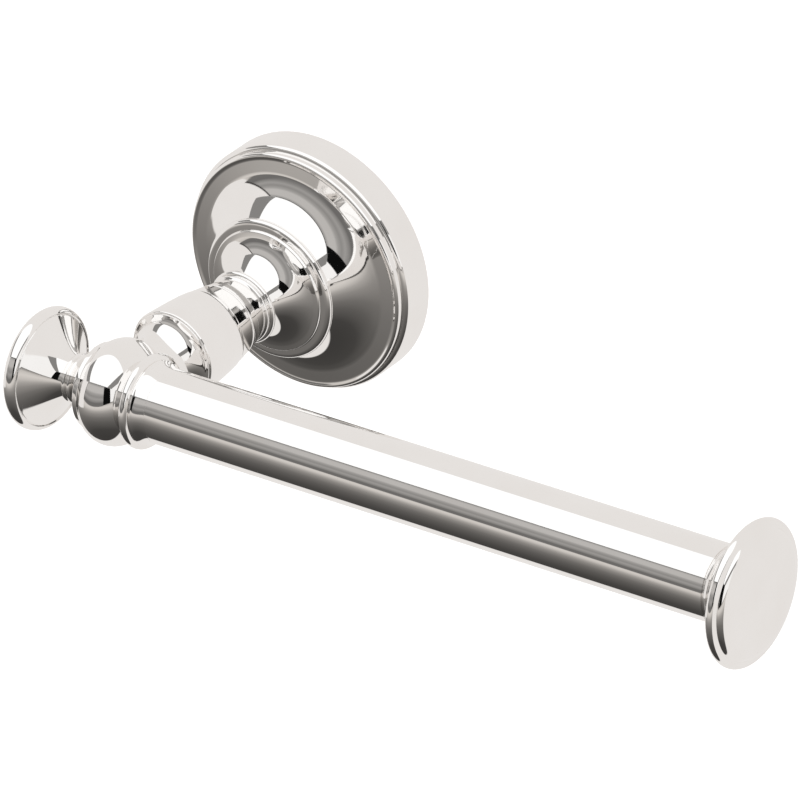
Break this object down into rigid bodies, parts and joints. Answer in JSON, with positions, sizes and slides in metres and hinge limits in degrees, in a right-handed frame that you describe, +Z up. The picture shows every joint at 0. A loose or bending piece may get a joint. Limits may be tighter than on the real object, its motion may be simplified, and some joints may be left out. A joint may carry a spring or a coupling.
{
  "type": "toilet paper holder",
  "caption": "Open-arm toilet paper holder: a round stepped wall flange, a turned post with a ball at its end, and one plain round arm with an end disc and a small finial.",
  "frame": {"origin": "centre of the flange's back face, on the wall plane", "axes": "+X along the arm towards its open end, +Y into the wall, +Z up; the post stands along -Y"},
  "size_m": [0.2081, 0.1197, 0.063],
  "materials": {
    "polished_metal": "mirror-polished nickel or chrome plate, slightly warm",
    "zinc_steel": "zinc-plated steel",
    "brass": "turned brass",
    "anchor_plastic": "moulded nylon"
  },
  "bodies": {
    "wall_mount": {"wall_plate": "zinc_steel", "wall_screw_upper": "zinc_steel", "wall_screw_lower": "zinc_steel", "wall_anchor_upper": "anchor_plastic", "wall_anchor_lower": "anchor_plastic"},
    "holder": {"wall_flange": "polished_metal", "bead_ring": "polished_metal", "neck_bell": "polished_metal", "neck_collar": "polished_metal", "taper_sleeve": "polished_metal", "barrel": "polished_metal", "nose_cove": "polished_metal", "post_rod": "zinc_steel", "post_washer": "zinc_steel", "post_nut": "zinc_steel", "hub_ball": "polished_metal", "arm_bead": "polished_metal", "arm_flare": "polished_metal", "arm_tube": "polished_metal", "hub_insert": "brass", "end_insert": "brass", "arm_stud": "zinc_steel", "end_stud": "zinc_steel", "end_neck": "polished_metal", "end_disc": "polished_metal", "finial_collar": "polished_metal", "finial_neck": "polished_metal", "finial_disc": "polished_metal", "finial_stud": "zinc_steel"},
    "set_screw": {"set_screw": "zinc_steel"}
  },
  "joints": [
    {"name": "holder_pull_off", "type": "slide", "parent": "wall_mount", "child": "holder", "axis": [0, -1, 0], "range_m": [0, 0.03]},
    {"name": "set_screw_back_out", "type": "slide", "parent": "holder", "child": "set_screw", "axis": [0, 0, -1], "range_m": [0, 0.003]}
  ]
}
